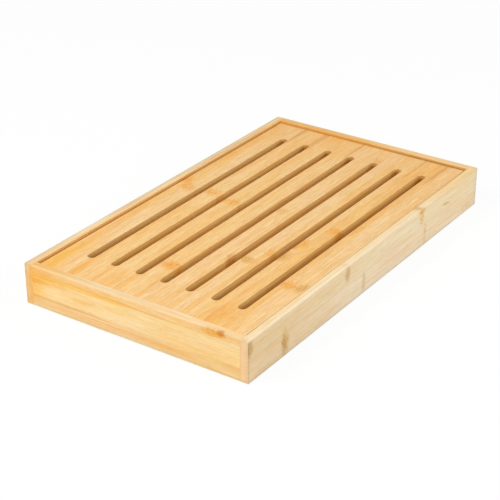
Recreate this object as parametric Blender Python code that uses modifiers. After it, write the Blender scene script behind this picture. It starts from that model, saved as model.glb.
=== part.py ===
# Bamboo bread board with a crumb catcher.
# Four glued rails and a thin base panel make a shallow tray. Ledger strips inside the rails
# carry a loose slotted board, which lifts straight out so that the crumbs can be tipped away.
# Metres, +Z up, X along the length. The origin is on the table, under the middle of the tray.

import math

import bmesh
import bpy
from mathutils import Matrix, Vector

# Tray
TRAY_LENGTH = 0.400
TRAY_WIDTH = 0.236
TRAY_HEIGHT = 0.040
RAIL_THICKNESS = 0.0078
RAIL_EASE = 0.0010

# Joints between pieces
GLUE_GAP = 0.0003
CUT_OVERRUN = 0.0020

# Base panel and the groove that holds it
BASE_THICKNESS = 0.0040
BASE_RISE = 0.0045
GROOVE_DEPTH = 0.0025

# Slotted board
BOARD_RECESS = 0.0022
BOARD_THICKNESS = 0.0100
BOARD_CLEARANCE = 0.0020
BOARD_EASE = 0.0005
SLOT_COUNT = 7
SLOT_WIDTH = 0.0080
SLOT_SIDE_MARGIN = 0.0238
SLOT_END_MARGIN = 0.0328
SLOT_END_FACETS = 12

# Ledger strips
LEDGER_WIDTH = 0.0080
LEDGER_HEIGHT = 0.0080
LEDGER_EASE = 0.0005

# Corner dowels
DOWEL_RADIUS = 0.0015
DOWEL_RAIL_SEAT = 0.0045
DOWEL_END_SEAT = 0.0120
DOWEL_FACETS = 20
DOWEL_CHAMFER = 0.0004
DOWEL_HEIGHT_SHARES = {"lower": 0.40, "upper": 0.76}

# Worked out from the sizes above
INNER_LENGTH = TRAY_LENGTH - 2 * RAIL_THICKNESS
INNER_WIDTH = TRAY_WIDTH - 2 * RAIL_THICKNESS
BOARD_LENGTH = INNER_LENGTH - 2 * BOARD_CLEARANCE
BOARD_WIDTH = INNER_WIDTH - 2 * BOARD_CLEARANCE
BOARD_TOP = TRAY_HEIGHT - BOARD_RECESS
BOARD_BOTTOM = BOARD_TOP - BOARD_THICKNESS
SLOT_LENGTH = BOARD_LENGTH - 2 * SLOT_END_MARGIN
SLOT_PITCH = (BOARD_WIDTH - 2 * SLOT_SIDE_MARGIN - SLOT_WIDTH) / (SLOT_COUNT - 1)
SIDES = {"near": -1, "far": 1}
ENDS = {"left": -1, "right": 1}

# Colours of the bamboo, as seen on each piece
LONG_RAIL_COLOUR = (0.74, 0.62, 0.38, 1)
SHORT_RAIL_COLOUR = (0.94, 0.62, 0.27, 1)
BOARD_COLOUR = (0.90, 0.58, 0.24, 1)
HIDDEN_COLOUR = (0.72, 0.50, 0.24, 1)
BAMBOO_ROUGHNESS = 0.55


def clear_scene():
    for thing in list(bpy.data.objects):
        bpy.data.objects.remove(thing, do_unlink=True)


def new_collection(name):
    collection = bpy.data.collections.new(name)
    bpy.context.scene.collection.children.link(collection)
    return collection


def bamboo(name, colour):
    material = bpy.data.materials.new(name + "_bamboo")
    material.use_nodes = True
    shader = material.node_tree.nodes["Principled BSDF"]
    shader.inputs["Base Color"].default_value = colour
    shader.inputs["Roughness"].default_value = BAMBOO_ROUGHNESS
    shader.inputs["Metallic"].default_value = 0
    material.diffuse_color = colour
    return material


def add_part(name, mesh, location, turn=0, colour=HIDDEN_COLOUR):
    part = bpy.data.objects.new(name, mesh)
    part.location = location
    part.rotation_euler.z = turn
    mesh.materials.append(bamboo(name, colour))
    PARTS.objects.link(part)
    return part


def add_cutter(name, mesh, location=(0, 0, 0), turn=0):
    cutter = bpy.data.objects.new(name, mesh)
    cutter.location = location
    cutter.rotation_euler.z = turn
    cutter.hide_render = True
    cutter.display_type = "WIRE"
    CUTTERS.objects.link(cutter)
    return cutter


def cut(part, cutter):
    boolean = part.modifiers.new("cut_" + cutter.name, "BOOLEAN")
    boolean.operation = "DIFFERENCE"
    boolean.solver = "EXACT"
    boolean.object = cutter


def box_mesh(name, length, width, height):
    mesh = bpy.data.meshes.new(name)
    shape = bmesh.new()
    bmesh.ops.create_cube(shape, size=1, matrix=Matrix.Diagonal((length, width, height, 1)))
    shape.to_mesh(mesh)
    shape.free()
    return mesh


def ease_edges(part, width, segments, limit):
    ease = part.modifiers.new("eased_edges", "BEVEL")
    ease.width = width
    ease.segments = segments
    ease.limit_method = limit
    return ease


# Rails

def mark_sanded_edges(shape, length, ends_show):
    # The frame is sanded after it is glued: its outer edges and the rim inside are eased,
    # and the edges that lie in a glue joint stay sharp. The outer face looks along -Y.
    weight = shape.edges.layers.float.new("bevel_weight_edge")
    for edge in shape.edges:
        middle = (edge.verts[0].co + edge.verts[1].co) / 2
        outer = math.isclose(middle.y, -RAIL_THICKNESS / 2, rel_tol=0.001)
        inner = math.isclose(middle.y, RAIL_THICKNESS / 2, rel_tol=0.001)
        top = math.isclose(middle.z, TRAY_HEIGHT / 2, rel_tol=0.001)
        bottom = math.isclose(middle.z, -TRAY_HEIGHT / 2, rel_tol=0.001)
        end = math.isclose(abs(middle.x), length / 2, rel_tol=0.001)
        between_joints = not ends_show or abs(middle.x) < INNER_LENGTH / 2
        outer_run = outer and (top or bottom)
        rim_run = inner and top and between_joints
        end_run = ends_show and end and not inner
        if outer_run or rim_run or end_run:
            edge[weight] = 1


def rail_mesh(name, length, ends_show):
    mesh = box_mesh(name, length, RAIL_THICKNESS, TRAY_HEIGHT)
    shape = bmesh.new()
    shape.from_mesh(mesh)
    if ends_show:
        for end in ENDS.values():
            bmesh.ops.bisect_plane(
                shape,
                geom=shape.verts[:] + shape.edges[:] + shape.faces[:],
                plane_co=Vector((end * INNER_LENGTH / 2, 0, 0)),
                plane_no=Vector((1, 0, 0)),
            )
    mark_sanded_edges(shape, length, ends_show)
    shape.to_mesh(mesh)
    shape.free()
    return mesh


def make_rails():
    rails = {}
    height = TRAY_HEIGHT / 2
    for side, sign in SIDES.items():
        name = side + "_long_rail"
        place = (0, sign * (TRAY_WIDTH - RAIL_THICKNESS) / 2, height)
        turn = 0 if sign < 0 else math.pi
        mesh = rail_mesh(name, TRAY_LENGTH, ends_show=True)
        rails[side] = add_part(name, mesh, place, turn, LONG_RAIL_COLOUR)
    for end, sign in ENDS.items():
        name = end + "_short_rail"
        place = (sign * (TRAY_LENGTH - RAIL_THICKNESS) / 2, 0, height)
        mesh = rail_mesh(name, INNER_WIDTH - 2 * GLUE_GAP, ends_show=False)
        rails[end] = add_part(name, mesh, place, sign * math.pi / 2, SHORT_RAIL_COLOUR)
    for rail in rails.values():
        ease_edges(rail, RAIL_EASE, segments=3, limit="WEIGHT")
    return rails


# Base panel

def make_base_panel(rails):
    tongue = GROOVE_DEPTH - GLUE_GAP
    length = INNER_LENGTH + 2 * tongue
    width = INNER_WIDTH + 2 * tongue
    place = (0, 0, BASE_RISE + BASE_THICKNESS / 2)
    add_part("base_panel", box_mesh("base_panel", length, width, BASE_THICKNESS), place)
    groove = box_mesh(
        "panel_groove",
        length + 2 * GLUE_GAP,
        width + 2 * GLUE_GAP,
        BASE_THICKNESS + 2 * GLUE_GAP,
    )
    cutter = add_cutter("panel_groove", groove, place)
    for rail in rails.values():
        cut(rail, cutter)


# Corner dowels

def dowel_mesh(name, radius, length, chamfer):
    mesh = bpy.data.meshes.new(name)
    shape = bmesh.new()
    bmesh.ops.create_cone(
        shape,
        cap_ends=True,
        segments=DOWEL_FACETS,
        radius1=radius,
        radius2=radius,
        depth=length,
        matrix=Matrix.Rotation(math.pi / 2, 4, "X"),
    )
    if chamfer:
        rims = [edge for edge in shape.edges if len(edge.link_faces) == 2 and
                any(len(face.verts) == DOWEL_FACETS for face in edge.link_faces)]
        bmesh.ops.bevel(shape, geom=rims, offset=chamfer, segments=1, affect="EDGES")
    shape.to_mesh(mesh)
    shape.free()
    mesh.shade_smooth()
    mesh.set_sharp_from_angle(angle=math.radians(40))
    return mesh


def make_dowels(rails):
    length = DOWEL_RAIL_SEAT + DOWEL_END_SEAT
    joint_to_middle = (DOWEL_RAIL_SEAT - DOWEL_END_SEAT) / 2
    across = INNER_WIDTH / 2 + joint_to_middle
    along = (TRAY_LENGTH - RAIL_THICKNESS) / 2
    for side, side_sign in SIDES.items():
        for end, end_sign in ENDS.items():
            for level, share in DOWEL_HEIGHT_SHARES.items():
                name = f"dowel_{side}_{end}_{level}"
                place = (end_sign * along, side_sign * across, share * TRAY_HEIGHT)
                add_part(name, dowel_mesh(name, DOWEL_RADIUS, length, DOWEL_CHAMFER), place)
                hole = dowel_mesh(
                    name + "_hole", DOWEL_RADIUS + GLUE_GAP, length + 2 * GLUE_GAP, 0
                )
                cutter = add_cutter(name + "_hole", hole, place)
                cut(rails[side], cutter)
                cut(rails[end], cutter)


# Ledger strips

def make_ledgers():
    top = BOARD_BOTTOM - GLUE_GAP
    height = top - LEDGER_HEIGHT / 2
    inset = LEDGER_WIDTH / 2 + GLUE_GAP
    long_run = INNER_LENGTH - 2 * GLUE_GAP
    short_run = INNER_WIDTH - 2 * (LEDGER_WIDTH + 2 * GLUE_GAP)
    for side, sign in SIDES.items():
        name = side + "_ledger"
        mesh = box_mesh(name, long_run, LEDGER_WIDTH, LEDGER_HEIGHT)
        strip = add_part(name, mesh, (0, sign * (INNER_WIDTH / 2 - inset), height))
        ease_edges(strip, LEDGER_EASE, segments=1, limit="ANGLE")
    for end, sign in ENDS.items():
        name = end + "_ledger"
        mesh = box_mesh(name, LEDGER_WIDTH, short_run, LEDGER_HEIGHT)
        strip = add_part(name, mesh, (sign * (INNER_LENGTH / 2 - inset), 0, height))
        ease_edges(strip, LEDGER_EASE, segments=1, limit="ANGLE")


# Slotted board

def slot_outline(length, width):
    # Two half circles joined by the straight sides, counter-clockwise.
    radius = width / 2
    straight = length / 2 - radius
    points = []
    for sign, start in ((1, -math.pi / 2), (-1, math.pi / 2)):
        for step in range(SLOT_END_FACETS + 1):
            angle = start + math.pi * step / SLOT_END_FACETS
            points.append((sign * straight + radius * math.cos(angle), radius * math.sin(angle)))
    return points


def slot_cutter_mesh(name, height):
    mesh = bpy.data.meshes.new(name)
    shape = bmesh.new()
    outline = [shape.verts.new((x, y, -height / 2)) for x, y in slot_outline(SLOT_LENGTH, SLOT_WIDTH)]
    floor = shape.faces.new(outline)
    raised = bmesh.ops.extrude_face_region(shape, geom=[floor])
    moved = [item for item in raised["geom"] if isinstance(item, bmesh.types.BMVert)]
    bmesh.ops.translate(shape, verts=moved, vec=(0, 0, height))
    bmesh.ops.recalc_face_normals(shape, faces=shape.faces[:])
    shape.to_mesh(mesh)
    shape.free()
    return mesh


def make_board():
    middle = (BOARD_TOP + BOARD_BOTTOM) / 2
    mesh = box_mesh("slotted_board", BOARD_LENGTH, BOARD_WIDTH, BOARD_THICKNESS)
    board = add_part("slotted_board", mesh, (0, 0, middle), colour=BOARD_COLOUR)
    depth = BOARD_THICKNESS + 2 * CUT_OVERRUN
    for index in range(SLOT_COUNT):
        across = (index - (SLOT_COUNT - 1) / 2) * SLOT_PITCH
        name = f"slot_{index + 1}"
        cutter = add_cutter(name, slot_cutter_mesh(name, depth), (0, across, middle))
        cut(board, cutter)
    ease = ease_edges(board, BOARD_EASE, segments=2, limit="ANGLE")
    ease.angle_limit = math.radians(60)


clear_scene()
PARTS = new_collection("bread_board_with_crumb_catcher")
CUTTERS = new_collection("cutters")
frame_rails = make_rails()
make_base_panel(frame_rails)
make_dowels(frame_rails)
make_ledgers()
make_board()
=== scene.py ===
import math

import bpy
from mathutils import Matrix, Vector


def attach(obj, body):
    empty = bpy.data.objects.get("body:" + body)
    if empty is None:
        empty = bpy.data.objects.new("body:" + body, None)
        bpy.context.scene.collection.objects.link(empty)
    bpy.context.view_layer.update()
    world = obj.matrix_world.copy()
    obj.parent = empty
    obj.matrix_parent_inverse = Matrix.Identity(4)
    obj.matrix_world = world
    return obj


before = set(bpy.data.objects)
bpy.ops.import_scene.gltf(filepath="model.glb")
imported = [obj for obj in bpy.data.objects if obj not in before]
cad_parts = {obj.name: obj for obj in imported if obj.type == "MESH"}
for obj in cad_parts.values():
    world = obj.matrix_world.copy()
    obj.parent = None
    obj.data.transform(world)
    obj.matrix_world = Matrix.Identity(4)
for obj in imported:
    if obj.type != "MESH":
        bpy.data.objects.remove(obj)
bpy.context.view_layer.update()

scene = bpy.context.scene
print("frame loaded:", len(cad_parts), "nodes")


# Small helpers

def linear(hexColour):
    channels = [int(hexColour[i:i + 2], 16) / 255 for i in (1, 3, 5)]
    return [c / 12.92 if c <= 0.04045 else ((c + 0.055) / 1.055) ** 2.4 for c in channels] + [1]


def put(tree, kind, inputs=None, **settings):
    # adds one node: its settings, then its inputs, each a value or what is linked there
    made = tree.nodes.new("ShaderNode" + kind)
    for name, value in settings.items():
        setattr(made, name, value)
    pairs = inputs.items() if isinstance(inputs, dict) else enumerate(inputs or [])
    for key, value in pairs:
        if isinstance(value, bpy.types.Node):
            value = value.outputs[0]
        if isinstance(value, bpy.types.NodeSocket):
            tree.links.new(value, made.inputs[key])
        elif value is not None:
            made.inputs[key].default_value = value
    return made


# Camera, at the photograph's angle: a long lens about 1.4 m away

cameraLook = {
    "azimuth": -55.5721,      # degrees, 0 looks along +Y
    "elevation": 27.6579,
    "roll": -0.1444,
    "focalPixels": 1462.06,
    "pictureWidth": 500,      # pixels
    "sensorWidth": 36,        # mm
    "distance": 1.3728,       # metres, from the middle of the tray's foot
    "slide": (-0.01437, 0.00028),    # metres to the right and up in the picture
}


def makeCamera(look):
    azimuth, elevation, roll = (math.radians(look[k]) for k in ("azimuth", "elevation", "roll"))
    back = Vector((math.sin(azimuth) * math.cos(elevation),
                   -math.cos(azimuth) * math.cos(elevation), math.sin(elevation)))
    right = Vector((math.cos(azimuth), math.sin(azimuth), 0))
    up = back.cross(right)
    across = right * math.cos(roll) + up * math.sin(roll)
    upward = up * math.cos(roll) - right * math.sin(roll)
    data = bpy.data.cameras.new("camera")
    data.sensor_width = look["sensorWidth"]
    data.lens = look["focalPixels"] * look["sensorWidth"] / look["pictureWidth"]
    camera = bpy.data.objects.new("camera", data)
    turn = Matrix((across, upward, back)).transposed().to_4x4()
    slideX, slideY = look["slide"]
    spot = back * look["distance"] + across * slideX + upward * slideY
    camera.matrix_world = Matrix.Translation(spot) @ turn
    scene.collection.objects.link(camera)
    scene.camera = camera


makeCamera(cameraLook)
print("camera placed")


# Studio: even white surroundings, a soft key lamp high on the left, a weaker one on the
# right that reaches into the slots, and a pale floor

studioLook = {
    "skyStrength": 0.46,
    "lamps": {                # place in metres, size in metres, power in watts
        "key": ((-1.2, 0.6, 1.48), 0.7, 21.5),
        "fill": ((0.4, -1.5, 0.95), 0.7, 10.05),
    },
    "floorColour": "#FAFAFA",
    "floorGlow": 0.93,        # share of plain white that the camera sees on the floor
    "floorReach": 6,          # metres to each side
}


def makeLamp(name, spot, size, power):
    data = bpy.data.lights.new(name, "AREA")
    data.shape = "SQUARE"
    data.size = size
    data.energy = power
    lamp = bpy.data.objects.new(name, data)
    lamp.location = spot
    lamp.rotation_mode = "QUATERNION"
    lamp.rotation_quaternion = (-Vector(spot)).to_track_quat("-Z", "Y")
    scene.collection.objects.link(lamp)


def seenDirectly(tree):
    # 1 for what the camera, a gloss or a glass shows, 0 for the light that falls on things
    ray = put(tree, "LightPath")
    seen = put(tree, "Math", [ray.outputs["Is Camera Ray"], ray.outputs["Is Glossy Ray"]],
               operation="MAXIMUM")
    return put(tree, "Math", [seen, ray.outputs["Is Transmission Ray"]], operation="MAXIMUM")


def makeStudio(look):
    world = bpy.data.worlds.new("studio")
    world.use_nodes = True
    scene.world = world
    tree = world.node_tree
    tree.nodes.clear()
    white = (1, 1, 1, 1)
    lit = put(tree, "Background", {"Color": white, "Strength": look["skyStrength"]})
    plain = put(tree, "Background", {"Color": white, "Strength": 1})
    put(tree, "OutputWorld", {"Surface": put(tree, "MixShader", [seenDirectly(tree), lit, plain])})
    for name, (spot, size, power) in look["lamps"].items():
        makeLamp(name, spot, size, power)

    reach = look["floorReach"]
    mesh = bpy.data.meshes.new("floor")
    corners = [(-reach, -reach, 0), (reach, -reach, 0), (reach, reach, 0), (-reach, reach, 0)]
    mesh.from_pydata(corners, [], [(0, 1, 2, 3)])
    floor = bpy.data.objects.new("floor", mesh)
    scene.collection.objects.link(floor)
    material = bpy.data.materials.new("white_paper_sweep")
    material.use_nodes = True
    tree = material.node_tree
    tree.nodes.clear()
    share = put(tree, "Math", [seenDirectly(tree), look["floorGlow"]], operation="MULTIPLY")
    paper = put(tree, "BsdfDiffuse", {"Color": linear(look["floorColour"])})
    glow = put(tree, "Emission", {"Color": white, "Strength": 1})
    put(tree, "OutputMaterial", {"Surface": put(tree, "MixShader", [share, paper, glow])})
    mesh.materials.append(material)


makeStudio(studioLook)
scene.view_settings.view_transform = "Standard"
print("studio lit")


# Bamboo. Culms are split into flat strips, dried, planed and glued edge to edge under
# pressure, then sanded and thinly oiled. The eye sees long fine fibres, one tone to each
# strip, thin darker glue lines, and a knuckle across a strip where the culm had a joint.

stripTones = {
    "cream": "#FEDDAE",
    "straw": "#FEDAA2",
    "honey": "#FDD494",
    "warm": "#FAD08E",
    "pale": "#F5E6CA",
    "milk": "#F8EAD6",
    "sun": "#FEEAC4",
    "gold": "#FAD9A8",
    "wheat": "#F8DDB0",
}

stainTones = {                # multiplied in, so that the fibres stay visible
    "light": "#FFFAEE",
    "amber": "#FDE7AE",
    "orange": "#FCDE8A",
    "yellow": "#FCE08C",
    "olive": "#F0E2AE",
    "brown": "#DDC498",
    "rust": "#DCAE62",
    "blush": "#FDE6D4",
    "grey": "#EEF6FF",
    "gilt": "#FFF2B0",        # oil that has yellowed in the corners
    "paintedLight": "#FFE8B6",        # these two are mixed in: painted light where shade lies along an edge, and a painted highlight on an outer edge, also a pale dry patch
    "dryAndHighlight": "#FFF6E4",         # and an edge where the oil has worn off
}

grainTones = {                # multiplied over the tone of the strip
    "hue": "#FFF8D6",
    "mottle": "#F4EDD8",
    "middle": "#F7E8C6",
    "fine": "#E2D9C6",
    "flecks": "#C8A87C",
    "narrowFine": "#F0DAB4",
    "narrowMiddle": "#F6E2BE",
    "pores": "#C08A4C",
    "ridges": "#F2CD8A",
    "glueLine": "#CFA060",
    "bundles": "#CFA577",
    "arris": "#CDAE86",
}

grainPatterns = {
    # gaps: millimetres from one swell to the next, along, across and through the strip
    # band: where in its range the noise starts to count, and where it counts in full
    # real fibre bundles are about 0.4 mm apart, the fine ones here are coarser, to show
    "fine": dict(gaps=(22, 0.7, 0.7), detail=2, rough=0.55, band=(0.3, 0.7)),
    "middle": dict(gaps=(70, 1.9, 1.9), detail=2, rough=0.55, band=(0.32, 0.68)),
    "broad": dict(gaps=(120, 9, 9), detail=2, rough=0.55, band=(0.3, 0.7)),
    "mottle": dict(gaps=(7, 2.6, 2.6), detail=3, rough=0.65, band=(0.35, 0.68)),
    "hue": dict(gaps=(45, 7, 7), detail=2, rough=0.55, band=(0.35, 0.65)),
    "flecks": dict(gaps=(6, 0.55, 0.55), detail=1, rough=0.5, band=(0.6, 0.74)),
    "pores": dict(gaps=(1.8, 1.6, 1.8), detail=1, rough=0.5, band=(0.6, 0.72)),
    "ridges": dict(gaps=(2, 7, 7), detail=2, rough=0.5, band=(0.52, 0.68)),
    "ragged": dict(gaps=(6, 6, 9), detail=3, rough=0.6),
    "wave": dict(gaps=(70, 1, 30), detail=1, rough=0.55),    # across, it counts strips
}

bambooLook = {                # what all the pieces share, lengths in millimetres
    "culmShift": 313.7,       # how much further along the next strip's fibres start
    "wave": 2.2,              # how far fibres wander sideways
    "push": 7,                # how far a knuckle pushes them aside
    "stainDepth": 14,         # of a stain that gives no depth of its own
    "stainFade": (1.3, 0.4),  # shares of a stain's size: gone outside one, full inside the other
    "edgeFade": (0.55, 1),    # a strip grows darker from its middle to its upper edge
    "edgeReach": (-190, -20),    # most at one place along it, a third as much at the other
    "poreShare": 0.7,
    "ridgeShare": 0.5,
    "halfGlueLine": 0.45,
    "glueFade": (0.35, 0.6, 0.15, 1),    # broad fibres from and to, strength from and to
    "narrowTurn": (0.3, 0.75),    # how far a face looks sideways until it counts as narrow
    "endTurn": (0.7, 0.95),       # how far it looks lengthwise until it counts as end grain
    "arrisIn": (0.2, 0.5),        # an arris starts here
    "arrisOut": (1, 0.85),        # and is over here
    "bundleScale": 0.9,       # cut bundles to a millimetre, drawn at twice their real spacing
    "bundleDots": (0.4, 0.15, 0.3),      # gone at, full at, strength
    "sheenSwing": 0.06,       # roughness from fibre to fibre
    "knuckleGloss": -0.12,    # knuckles are harder and polish up
    "ior": 1.45,              # thin oil on wood
    "relief": {"middle": 0.5, "fine": 0.5, "glueLine": -0.8, "pores": -0.7, "knuckles": 0.6},
    "bumpStrength": 0.3,
    "bumpDistance": 0.0003,   # metres
}


def bamboo(name, look):
    material = bpy.data.materials.new(name)
    material.use_nodes = True
    tree = material.node_tree
    shader = tree.nodes["Principled BSDF"]
    place = put(tree, "TexCoord")
    millimetres = put(tree, "VectorMath", {0: place.outputs["Object"], "Scale": 1000},
                      operation="SCALE")
    axes = put(tree, "SeparateXYZ", [millimetres])
    along, across, deep = (axes.outputs[axis] for axis in look["axes"])
    grain = put(tree, "CombineXYZ", [along, across, deep])

    def noise(vector, kind):
        pattern = grainPatterns[kind]
        scaled = put(tree, "Mapping", {"Vector": vector,
                                       "Scale": [1 / gap for gap in pattern["gaps"]]})
        return put(tree, "TexNoise", {"Vector": scaled, "Scale": 1, "Detail": pattern["detail"],
                                      "Roughness": pattern["rough"]})

    def mask(value, low, high, most=1):
        return put(tree, "MapRange", {"Value": value, "From Min": low, "From Max": high,
                                      "To Min": 0, "To Max": most}, interpolation_type="SMOOTHSTEP")

    def mix(base, share, other, blend="MIX"):
        return put(tree, "Mix", {0: share, 6: base, 7: other}, data_type="RGBA",
                   blend_type=blend).outputs[2]

    def tint(base, share, hexColour, blend="MULTIPLY"):
        return mix(base, share, linear(hexColour), blend)

    # which strip, and where in it: 0 at its lower edge, 1 at its upper edge
    count = len(look["strips"])
    ladder = put(tree, "MapRange", [across, look["firstSeam"],
                                    look["firstSeam"] + count * look["stripWidth"], 0, count],
                 clamp=False)
    strip = put(tree, "Math", [ladder], operation="FLOOR")
    within = put(tree, "Math", [ladder], operation="FRACT")

    # each strip comes from another culm, so its fibres start elsewhere
    shifted = put(tree, "Math", [strip, bambooLook["culmShift"], along], operation="MULTIPLY_ADD")
    drift = put(tree, "CombineXYZ", [shifted, strip, deep])
    slowWave = noise(drift, "wave")
    waved = put(tree, "Math", [slowWave.outputs[0], bambooLook["wave"], across],
                operation="MULTIPLY_ADD")

    # knuckles, each a ragged soft blotch that runs right through the strip
    ragged = noise(grain, "ragged")
    centred = put(tree, "VectorMath", [ragged.outputs["Color"], (0.5, 0.5, 0.5)],
                  operation="SUBTRACT")
    torn = put(tree, "VectorMath", [centred, look["tear"], grain], operation="MULTIPLY_ADD")

    def blotch(stain, vector):
        # placed along, across and, where it is given, through the piece
        mapped = put(tree, "Mapping", {"Vector": vector,
                     "Location": (*stain["at"], look["heart"])[:3],
                     "Rotation": (0, 0, math.radians(stain.get("slant", 0))),
                     "Scale": (*stain["size"], bambooLook["stainDepth"])[:3]},
                     vector_type="TEXTURE")
        reach = put(tree, "VectorMath", [mapped], operation="LENGTH").outputs["Value"]
        return (mask(reach, *bambooLook["stainFade"], stain["strength"]),
                stainTones[stain["tone"]], stain.get("blend", "MULTIPLY"))

    knuckles = [blotch(knuckle, torn) for knuckle in look["knuckles"]]
    swirl = put(tree, "Math", [0, 0])    # 0 on plain bamboo, up to 1 in a knuckle
    for share, *_ in knuckles:
        swirl = put(tree, "Math", [swirl, share], operation="MAXIMUM")
    waving = put(tree, "CombineXYZ", [along, waved, deep])
    streaks = [blotch(streak, waving) for streak in look["streaks"]]
    lines = [blotch(line, grain) for line in look["lines"]]

    # fibres at three sizes, pushed aside round the knuckles, and what varies along them
    push = put(tree, "Math", [ragged.outputs[0], bambooLook["push"]], operation="MULTIPLY")
    bentAcross = put(tree, "Math", [swirl, push, waved], operation="MULTIPLY_ADD")
    course = put(tree, "CombineXYZ", [shifted, bentAcross, deep])
    noises = {kind: noise(course, kind).outputs[0]
              for kind in ("fine", "middle", "broad", "mottle", "hue", "flecks")}
    shares = {kind: mask(value, *grainPatterns[kind]["band"], look[kind])
              for kind, value in noises.items()}

    # colour: tone of the strip, then light and dark fibres over it
    ramp = put(tree, "ValToRGB", [put(tree, "MapRange", [ladder, 0, count, 0, 1])])
    ramp.color_ramp.interpolation = "CONSTANT"
    stops = ramp.color_ramp.elements
    while len(stops) < count:
        stops.new(1)
    while len(stops) > count:
        stops.remove(stops[-1])
    for i, tone in enumerate(look["strips"]):
        stops[i].position = i / count
        stops[i].color = linear(stripTones[tone])
    edgeReach = put(tree, "MapRange", [along, *bambooLook["edgeReach"], look["edgeShade"],
                                       look["edgeShade"] / 3])
    edge = put(tree, "Math", [mask(within, *bambooLook["edgeFade"]), edgeReach],
               operation="MULTIPLY")
    colour = tint(ramp.outputs["Color"], shares["broad"], look["shade"])
    colour = tint(colour, edge, look["shade"])
    for kind in ("hue", "mottle", "middle", "fine", "flecks"):
        colour = tint(colour, shares[kind], grainTones[kind])
    if "tide" in look:        # the tone drifts along the length
        start, stop, tideTone = look["tide"]
        colour = tint(colour, put(tree, "MapRange", [along, start, stop, 0, 1]), tideTone)

    # narrow sides of the strips: paler, sanded across the layers of the culm wall
    facing = put(tree, "SeparateXYZ", [place.outputs["Normal"]])
    sideways = put(tree, "Math", [facing.outputs[look["axes"][1]]], operation="ABSOLUTE")
    narrow = put(tree, "MapRange", [sideways, *bambooLook["narrowTurn"], 0, look["narrow"]])
    narrowColour = tint(linear(look["narrowTone"]), shares["fine"], grainTones["narrowFine"])
    narrowColour = tint(narrowColour, shares["middle"], grainTones["narrowMiddle"])
    colour = mix(colour, narrow, narrowColour)

    # long soft streaks of sap colour, then knuckles with dark pores and short ridges
    for share, tone, blend in streaks + knuckles:
        colour = tint(colour, share, tone, blend)

    def knuckleMarks(kind, most):
        marks = mask(noise(torn, kind).outputs[0], *grainPatterns[kind]["band"], most)
        return put(tree, "Math", [marks, swirl], operation="MULTIPLY")

    pores = knuckleMarks("pores", bambooLook["poreShare"])
    ridges = knuckleMarks("ridges", bambooLook["ridgeShare"])
    colour = tint(colour, pores, grainTones["pores"])
    colour = tint(colour, ridges, grainTones["ridges"])

    # glue lines between strips
    offMiddle = put(tree, "Math", [within, 0.5], operation="SUBTRACT")
    offMiddle = put(tree, "Math", [offMiddle], operation="ABSOLUTE")
    halfLine = bambooLook["halfGlueLine"] / look["stripWidth"]
    glueLine = mask(offMiddle, 0.5 - halfLine, 0.5 - halfLine / 4, look["seams"])
    glueFade = put(tree, "MapRange", [noises["broad"], *bambooLook["glueFade"]])
    glueLine = put(tree, "Math", [glueLine, glueFade], operation="MULTIPLY")
    colour = tint(colour, glueLine, grainTones["glueLine"])

    # end grain: the cut fibre bundles show as dots, the sanded arris is browner
    endOn = put(tree, "Math", [facing.outputs[look["axes"][0]]], operation="ABSOLUTE")
    bundles = put(tree, "TexVoronoi", {"Vector": put(tree, "CombineXYZ", [strip, across, deep]),
                  "Scale": bambooLook["bundleScale"], "Randomness": 0.9})
    dots = mask(bundles.outputs["Distance"], *bambooLook["bundleDots"])
    endColour = tint(linear(look["endTone"]), dots, grainTones["bundles"])
    endColour = tint(endColour, shares["broad"], look["shade"])
    colour = mix(colour, mask(endOn, *bambooLook["endTurn"]), endColour)
    arris = put(tree, "Math", [mask(endOn, *bambooLook["arrisIn"]),
                               mask(endOn, *bambooLook["arrisOut"], look["arris"])],
                operation="MULTIPLY")
    colour = tint(colour, arris, grainTones["arris"])

    # straight marks on top of all: tone changes, painted shade along the feet, in gaps and in
    # slots, and painted light and highlights on some edges
    for share, tone, blend in lines:
        colour = tint(colour, share, tone, blend)
    tree.links.new(colour, shader.inputs["Base Color"])

    # sheen: sanded and thinly oiled
    rough = put(tree, "MapRange", [noises["fine"], *grainPatterns["fine"]["band"],
                                   look["roughness"] - bambooLook["sheenSwing"],
                                   look["roughness"] + bambooLook["sheenSwing"]])
    rough = put(tree, "Math", [swirl, bambooLook["knuckleGloss"], rough],
                operation="MULTIPLY_ADD")
    tree.links.new(rough.outputs[0], shader.inputs["Roughness"])
    shader.inputs["IOR"].default_value = bambooLook["ior"]
    shader.inputs["Metallic"].default_value = 0

    # relief: raised fibres, hollow glue lines and pores, knuckles that stand a hair proud
    heights = {"fine": noises["fine"], "glueLine": glueLine, "pores": pores, "knuckles": swirl}
    relief = put(tree, "Math", [noises["middle"], bambooLook["relief"]["middle"]],
                 operation="MULTIPLY")
    for kind, height in heights.items():
        relief = put(tree, "Math", [height, bambooLook["relief"][kind], relief],
                     operation="MULTIPLY_ADD")
    bump = put(tree, "Bump", {"Strength": bambooLook["bumpStrength"],
                              "Distance": bambooLook["bumpDistance"], "Height": relief})
    tree.links.new(bump.outputs[0], shader.inputs["Normal"])
    return material


def dress(node, material):
    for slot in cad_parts[node].material_slots:
        slot.material = material


# Slotted board: ten strips, seven slots

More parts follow.
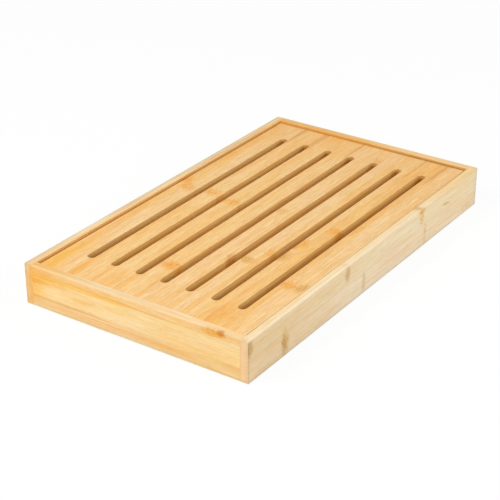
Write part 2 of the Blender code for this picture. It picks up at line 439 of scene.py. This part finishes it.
boardLook = {
    "axes": (0, 1, 2),        # grain, across the strips, through their thickness
    "heart": 32.8,            # mm, middle of the board's thickness
    "firstSeam": -114.2,
    "stripWidth": 23.8,
    "strips": ("cream", "honey", "straw", "cream", "cream", "straw", "straw", "straw",
               "cream", "honey"),
    "tide": (30, 190, "#FEF8EE"),    # mm along, from and to, and its tone
    "shade": "#FDEABF",
    "broad": 0.55,
    "hue": 0.5,
    "mottle": 0.5,
    "middle": 0.6,
    "fine": 0.6,
    "flecks": 0.35,
    "edgeShade": 0.5,
    "seams": 0.25,
    "narrow": 0.7,
    "narrowTone": "#F3D087",
    "endTone": "#E2B67A",
    "arris": 0,
    "roughness": 0.52,
    "tear": (9, 8, 0),        # mm that a knuckle's outline strays
    # each stain: place in mm along, across and sometimes through, and how far it reaches there
    "knuckles": (
        dict(at=(21, 106), size=(8, 7), tone="orange", strength=1),
        dict(at=(8, 95), size=(8, 12), tone="amber", strength=1, slant=-28),
        dict(at=(12, 67), size=(8, 11), tone="amber", strength=1),
        dict(at=(4, 53), size=(6, 6), tone="orange", strength=0.7),
        dict(at=(4, 41), size=(7, 9), tone="orange", strength=0.9),
        dict(at=(1, 28), size=(4, 4), tone="rust", strength=0.5),
        dict(at=(-129, 12), size=(9, 10), tone="orange", strength=1),
        dict(at=(14, -9), size=(7, 9), tone="olive", strength=0.6),
        dict(at=(-88, -21.5), size=(9, 3), tone="rust", strength=0.6, slant=6),
        dict(at=(-83, -36), size=(7, 9), tone="olive", strength=1),
        dict(at=(161, -26), size=(8, 7), tone="olive", strength=0.5),
        dict(at=(-63, -46), size=(9, 5), tone="amber", strength=0.75),
        dict(at=(-60, -61), size=(12, 5), tone="olive", strength=0.9),
        dict(at=(-33, -61), size=(12, 6), tone="yellow", strength=0.9),
        dict(at=(5, -71), size=(9, 7), tone="yellow", strength=1),
        dict(at=(6, -79), size=(9, 3), tone="brown", strength=0.8),
        dict(at=(18, -87), size=(14, 4), tone="amber", strength=0.5),
        dict(at=(-102, -92), size=(8, 8), tone="orange", strength=1),
        dict(at=(-100, -104), size=(9, 7), tone="olive", strength=1),
    ),
    "streaks": (
        dict(at=(-38, -53), size=(26, 4), tone="brown", strength=0.8),
        dict(at=(-178, 75.5), size=(32, 4), tone="yellow", strength=0.8),
        dict(at=(-172, 53), size=(28, 2), tone="amber", strength=0.6),
        dict(at=(-172, -18), size=(26, 2), tone="amber", strength=0.45),
        dict(at=(-172, -42), size=(26, 2), tone="amber", strength=0.45),
        dict(at=(-172, -72), size=(24, 12), tone="amber", strength=0.6),
        dict(at=(-180, 101), size=(60, 8), tone="gilt", strength=1),
        dict(at=(70, 101), size=(80, 8), tone="gilt", strength=0.35),
        dict(at=(-176, 40), size=(26, 9), tone="amber", strength=0.5),
        dict(at=(186, 40), size=(30, 10), tone="amber", strength=0.6),
        dict(at=(180, 76), size=(34, 2.6), tone="brown", strength=0.6),
        dict(at=(178, 51), size=(34, 3.4), tone="brown", strength=0.5),
        dict(at=(172, 6.5), size=(32, 2.4), tone="brown", strength=0.55),
        dict(at=(168, -66), size=(40, 1.2), tone="brown", strength=0.4),
        dict(at=(170, -89.5), size=(34, 2.4), tone="brown", strength=0.6),
    ),
    "lines": (
        # painted shade along the far and right edges, where the rails shade the board
        dict(at=(60, 108.6), size=(340, 1.3), tone="orange", strength=0.6),
        dict(at=(110, 108.2), size=(130, 1.2), tone="brown", strength=0.5),
        dict(at=(190.6, -60), size=(1.9, 90), tone="brown", strength=0.7),
        # painted shade in the slots, most at their ends
        dict(at=(0, 0, 33), size=(900, 900, 1.7), tone="brown", strength=0.25),
        dict(at=(154, 0, 31), size=(9, 900, 5), tone="brown", strength=0.7),
        dict(at=(-154, 0, 33), size=(9, 900, 3.4), tone="brown", strength=0.25),
        # near edge, painted lighter where the near rail's shade falls on it
        dict(at=(-50, -107.9), size=(200, 0.9), tone="paintedLight", strength=0.65, blend="MIX"),
    ),
}
dress("slotted_board", bamboo("oiled_bamboo_board", boardLook))
print("board dressed")


# Rails: two or three strips one above the other, palest on the near long side

railLook = {
    "shade": "#FDEBC6",
    "broad": 0.7,
    "hue": 0.5,
    "mottle": 0.4,
    "middle": 0.45,
    "fine": 0.4,
    "flecks": 0.2,
    "edgeShade": 0.4,
    "seams": 0.3,
    "narrow": 0.9,
    "arris": 0.5,
    "roughness": 0.55,
    "tear": (4, 5, 0),
    "streaks": (),
    "lines": (),
}

railLooks = {
    "near_long_rail": {
        "axes": (0, 2, 1),
        "heart": -114.1,
        "firstSeam": 0,
        "stripWidth": 22,
        "strips": ("milk", "pale"),
        "shade": "#FBECCF",
        "broad": 0.5,
        "hue": 0.25,
        "mottle": 0.3,
        "middle": 0.35,
        "tide": (20, -200, "#F8F0E1"),
        "narrowTone": "#F9E3BB",
        "endTone": "#F1CA96",
        "arris": 0.25,
        "knuckles": (
            dict(at=(-199, 32), size=(6, 9), tone="brown", strength=0.75),
            dict(at=(-48, 32), size=(5, 8), tone="brown", strength=0.75),
            dict(at=(86, 33), size=(4.5, 10), tone="amber", strength=1, slant=4),
            dict(at=(86, 38), size=(8, 3), tone="brown", strength=0.6),
            dict(at=(-147, 13), size=(6, 14), tone="olive", strength=1),
            dict(at=(-148.5, 12), size=(3, 10), tone="brown", strength=0.5),
            dict(at=(-20, 12), size=(3.5, 11), tone="brown", strength=0.45),
            dict(at=(93, 12), size=(3.5, 13), tone="olive", strength=0.55),
        ),
        "streaks": (
            dict(at=(134, 28), size=(8, 1.5), tone="rust", strength=0.55, slant=-8),
            dict(at=(0, 22), size=(210, 0.8), tone="olive", strength=0.35),
            dict(at=(60, 14), size=(80, 2), tone="blush", strength=0.5),
            dict(at=(-90, 9), size=(60, 3), tone="light", strength=0.8),
            dict(at=(180, 5), size=(12, 5), tone="amber", strength=0.35),
            dict(at=(150, 20), size=(60, 40), tone="light", strength=0.7),
        ),
        "lines": (
            # painted contact shade along the foot, then greyer at the two end corners
            dict(at=(0, 1.9), size=(460, 1.3), tone="grey", strength=1),
            dict(at=(197, 20, -118), size=(4, 60, 6), tone="grey", strength=0.7),
            dict(at=(-200, 20, -118), size=(3, 60, 3.2), tone="grey", strength=0.5),
            # rim: oil at the far end and inside, a painted highlight on the outer edge, and the
            # inner edge painted lighter against the shade beside the board
            dict(at=(175, 40.3, -114), size=(70, 1.2, 8), tone="amber", strength=0.35),
            dict(at=(-60, 40.2, -112), size=(260, 1.2, 1.8), tone="gilt", strength=0.2),
            dict(at=(-110, 39.6, -117.2), size=(200, 1.6, 1.7), tone="dryAndHighlight", strength=0.3,
                 blend="MIX"),
            dict(at=(-50, 39.8, -110.3), size=(200, 0.8, 0.6), tone="paintedLight", strength=0.9,
                 blend="MIX"),
        ),
    },
    "left_short_rail": {
        "axes": (1, 2, 0),
        "heart": -196.1,
        "firstSeam": -8.9,
        "stripWidth": 21.2,
        "strips": ("wheat", "sun", "gold"),
        "seams": 0.1,
        "narrowTone": "#F8E0B6",
        "endTone": "#EAC08A",
        "knuckles": (
            dict(at=(-84, 37, -200), size=(12, 3.5, 4), tone="orange", strength=1),
            dict(at=(-91, 38, -200), size=(5, 2.5, 4), tone="rust", strength=0.8),
        ),
        "streaks": (
            dict(at=(58, 33.7), size=(84, 2.7), tone="orange", strength=0.95),
            dict(at=(-40, 34.3), size=(60, 1), tone="olive", strength=0.8),
            dict(at=(108, 30), size=(40, 6), tone="yellow", strength=0.8),
            dict(at=(118, 20), size=(26, 16), tone="yellow", strength=0.9),
            dict(at=(56, 12.2), size=(44, 0.9), tone="rust", strength=0.35),
            dict(at=(60, 14), size=(44, 1), tone="light", strength=1),
            dict(at=(20, 7), size=(80, 3), tone="blush", strength=0.7),
            dict(at=(-40, 8), size=(30, 2.5), tone="amber", strength=0.35),
            dict(at=(35, 9), size=(30, 1), tone="orange", strength=0.6),
            dict(at=(108, 38), size=(26, 4), tone="amber", strength=0.8),
            dict(at=(-55, 38), size=(20, 3), tone="amber", strength=0.4),
            dict(at=(-85, 23), size=(76, 12), tone="light", strength=1),
            dict(at=(-100, 22), size=(46, 11), tone="amber", strength=0.25),
            dict(at=(-44, 24), size=(22, 9), tone="amber", strength=0.2),
            dict(at=(92, 8), size=(40, 5), tone="amber", strength=0.35),
            dict(at=(10, 18), size=(34, 6), tone="dryAndHighlight", strength=0.15, blend="MIX"),
            dict(at=(60, 24), size=(24, 9), tone="amber", strength=0.5),
            dict(at=(100, 22), size=(30, 12), tone="light", strength=1),
        ),
        "lines": (
            dict(at=(0, 2), size=(280, 1.3), tone="grey", strength=0.9),    # painted contact shade at the foot
            # rim, with the knuckle's brown at its near end
            dict(at=(0, 40.4, -196.1), size=(280, 1, 2.2), tone="blush", strength=0.4),
            dict(at=(-92, 39.8, -199.5), size=(24, 1.2, 2), tone="brown", strength=0.3),
            dict(at=(-95, 40.4, -194.5), size=(30, 1, 3), tone="gilt", strength=0.3),
            dict(at=(60, 40.4, -196.1), size=(100, 1, 5), tone="grey", strength=0.5),
            dict(at=(90, 40.4, -196.1), size=(44, 1, 5), tone="amber", strength=0.8),
        ),
    },
    "far_long_rail": {
        "axes": (0, 2, 1),
        "heart": 114.1,
        "firstSeam": -4,
        "stripWidth": 22,
        "strips": ("straw", "straw"),
        "narrowTone": "#FEEAC4",
        "endTone": "#EDC180",
        "knuckles": (
            dict(at=(-120, 28), size=(7, 10), tone="amber", strength=0.8),
            dict(at=(18, 30), size=(7, 10), tone="amber", strength=0.7),
            dict(at=(150, 9), size=(7, 10), tone="brown", strength=0.7),
            dict(at=(-40, 8), size=(7, 10), tone="amber", strength=0.7),
        ),
        "lines": (
            # end face and its corner
            dict(at=(-200, 23, 110), size=(3, 18, 4.5), tone="amber", strength=0.65),
            dict(at=(-200, 20, 118.2), size=(6, 60, 2.6), tone="grey", strength=1),
            # rim, with painted shade along its inner edge, then the inner wall above the board,
            # with painted shade at its foot, then the outer edge and the near end
            dict(at=(180, 40.3, 114), size=(70, 1.2, 8), tone="amber", strength=0.35),
            dict(at=(170, 40.2, 112), size=(210, 1.5, 1.3), tone="brown", strength=0.4),
            dict(at=(0, 36.4, 110.2), size=(460, 1, 2), tone="brown", strength=0.4),
            dict(at=(0, 39.4, 110.4), size=(460, 2.4, 2.4), tone="gilt", strength=0.25),
            dict(at=(0, 40.3, 118), size=(460, 1.4, 4.6), tone="grey", strength=1),
            dict(at=(-180, 40.3, 114), size=(50, 1.2, 8), tone="brown", strength=0.2),
        ),
    },
    "right_short_rail": {
        "axes": (1, 2, 0),
        "heart": 196.1,
        "firstSeam": -4,
        "stripWidth": 23,
        "strips": ("honey", "warm"),
        "narrowTone": "#F6D8A8",
        "endTone": "#EAC08A",
        "knuckles": (
            dict(at=(-52, 29), size=(7, 10), tone="amber", strength=0.8),
            dict(at=(74, 10), size=(7, 10), tone="brown", strength=0.7),
        ),
        "lines": (
            # upper half and outer edge, then painted shade at the foot of the inner wall, and its
            # upper edge
            dict(at=(90, 38), size=(115, 9), tone="amber", strength=0.55),
            dict(at=(85, 40.6, 199), size=(115, 1.2, 8), tone="grey", strength=0.8),
            dict(at=(-70, 36.8, 192.2), size=(60, 1.1, 2), tone="brown", strength=0.6),
            dict(at=(60, 40.3, 192.4), size=(150, 1.5, 4.5), tone="amber", strength=0.8),
        ),
    },
}
for rail, ownLook in railLooks.items():
    dress(rail, bamboo("sanded_bamboo_" + rail, {**railLook, **ownLook}))
print("rails dressed")


# Inside: base panel, ledger strips and dowels, sanded but not oiled

innerLook = {
    "axes": (0, 1, 2),
    "heart": 6.5,
    "firstSeam": -120,
    "stripWidth": 20,
    "strips": ("honey", "straw", "cream", "honey", "straw", "honey", "cream", "straw", "honey",
               "straw", "cream", "honey"),
    "shade": "#FDEABF",
    "broad": 0.7,
    "hue": 0.5,
    "mottle": 0.4,
    "middle": 0.5,
    "fine": 0.4,
    "flecks": 0.3,
    "edgeShade": 0.4,
    "seams": 0.4,
    "narrow": 0,
    "narrowTone": "#F6D6A2",
    "endTone": "#EAC08A",
    "arris": 0,
    "roughness": 0.62,
    "tear": (9, 8, 0),
    "streaks": (),
    "lines": (),
    "knuckles": (
        dict(at=(-110, 70), size=(7, 10), tone="amber", strength=0.8),
        dict(at=(60, 30), size=(7, 10), tone="orange", strength=0.7),
        dict(at=(-20, -10), size=(7, 10), tone="amber", strength=0.7),
        dict(at=(120, -50), size=(7, 10), tone="brown", strength=0.8),
        dict(at=(-70, -90), size=(7, 10), tone="yellow", strength=0.7),
    ),
}
dress("base_panel", bamboo("bamboo_base_panel", innerLook))
crosswise = dict(innerLook, axes=(1, 0, 2), firstSeam=-200, stripWidth=33.4, knuckles=())
for side in ("near", "far"):
    dress(side + "_ledger", bamboo("bamboo_strip_" + side, dict(innerLook, knuckles=())))
for end in ("left", "right"):
    dress(end + "_ledger", bamboo("bamboo_strip_" + end, crosswise))
dowelMaterial = bamboo("bamboo_dowel", crosswise)
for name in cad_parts:
    if name.startswith("dowel_"):
        dress(name, dowelMaterial)
print("inside dressed")


# Glue in the four corner joints: a bead that follows the edge of each joint, sanded with the
# rails, so that the joints hardly show

glueLook = {                  # lengths in metres
    "thick": 0.00027,
    "bead": 0.0007,
    "ease": 0.0010,           # rounding of the rails' edges
    "easeSteps": 3,
    "back": 0.0001,           # how far it stays behind the sanded faces
    "railThickness": 0.0078,
    "innerWidth": 0.2204,
    "length": 0.400,
    "height": 0.040,
    "tones": ("#F6D09A", "#E6B87C"),
    "cloudScale": 400,        # clouds of about 2.5 mm
    "cloudBand": (0.3, 0.7),
    "roughness": (0.35, 0.5),
    "ior": 1.48,
}


def glueMaterial(look):
    # wood glue dries clear and yellow, a little glossier than the sanded bamboo
    material = bpy.data.materials.new("cured_wood_glue")
    material.use_nodes = True
    tree = material.node_tree
    shader = tree.nodes["Principled BSDF"]
    place = put(tree, "TexCoord")
    clouds = put(tree, "TexNoise", {"Vector": place.outputs["Object"],
                                    "Scale": look["cloudScale"], "Detail": 2})
    pale, dark = look["tones"]
    tone = put(tree, "Mix", {0: clouds, 6: linear(pale), 7: linear(dark)}, data_type="RGBA")
    tree.links.new(tone.outputs[2], shader.inputs["Base Color"])
    rough = put(tree, "MapRange", [clouds, *look["cloudBand"], *look["roughness"]])
    tree.links.new(rough.outputs[0], shader.inputs["Roughness"])
    shader.inputs["IOR"].default_value = look["ior"]
    return material


def jointOutline(look, inset):
    # counter-clockwise from the outer bottom edge: (depth behind the outer face, height)
    wide, tall, ease = look["railThickness"], look["height"], look["ease"]
    low = look["back"] + inset
    points = []
    for middle, start in (((ease, ease), 180), (None, 0), ((wide - ease, tall - ease), 0),
                          ((ease, tall - ease), 90)):
        if middle is None:    # the inner bottom edge stays sharp
            points.append((wide - low, low))
            continue
        for step in range(look["easeSteps"] + 1):
            angle = math.radians(start + step * 90 / look["easeSteps"])
            points.append((middle[0] + (ease - low) * math.cos(angle),
                           middle[1] + (ease - low) * math.sin(angle)))
    return points


def makeGlue(look):
    material = glueMaterial(look)
    outer, inner = jointOutline(look, 0), jointOutline(look, look["bead"])
    count = len(outer)
    rings = ((0, 1), (1, 3), (3, 2), (2, 0))    # outer and inner on one face, then on the other
    for side, ySign in (("near", -1), ("far", 1)):
        for end, xSign in (("left", -1), ("right", 1)):
            middle = ySign * (look["innerWidth"] - look["thick"]) / 2
            points = [(xSign * (look["length"] / 2 - deep), middle + face * look["thick"] / 2, z)
                      for face in (-1, 1) for outline in (outer, inner) for deep, z in outline]
            faces = []
            for i in range(count):
                j = (i + 1) % count
                for a, b in rings:
                    faces.append((a * count + i, b * count + i, b * count + j, a * count + j))
            if xSign * ySign < 0:    # keeps the outside outside
                faces = [face[::-1] for face in faces]
            name = "glue_line_" + side + "_" + end
            mesh = bpy.data.meshes.new(name)
            mesh.from_pydata(points, [], faces)
            mesh.materials.append(material)
            line = bpy.data.objects.new(name, mesh)
            scene.collection.objects.link(line)
            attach(line, "tray")


makeGlue(glueLook)
print("joints glued")
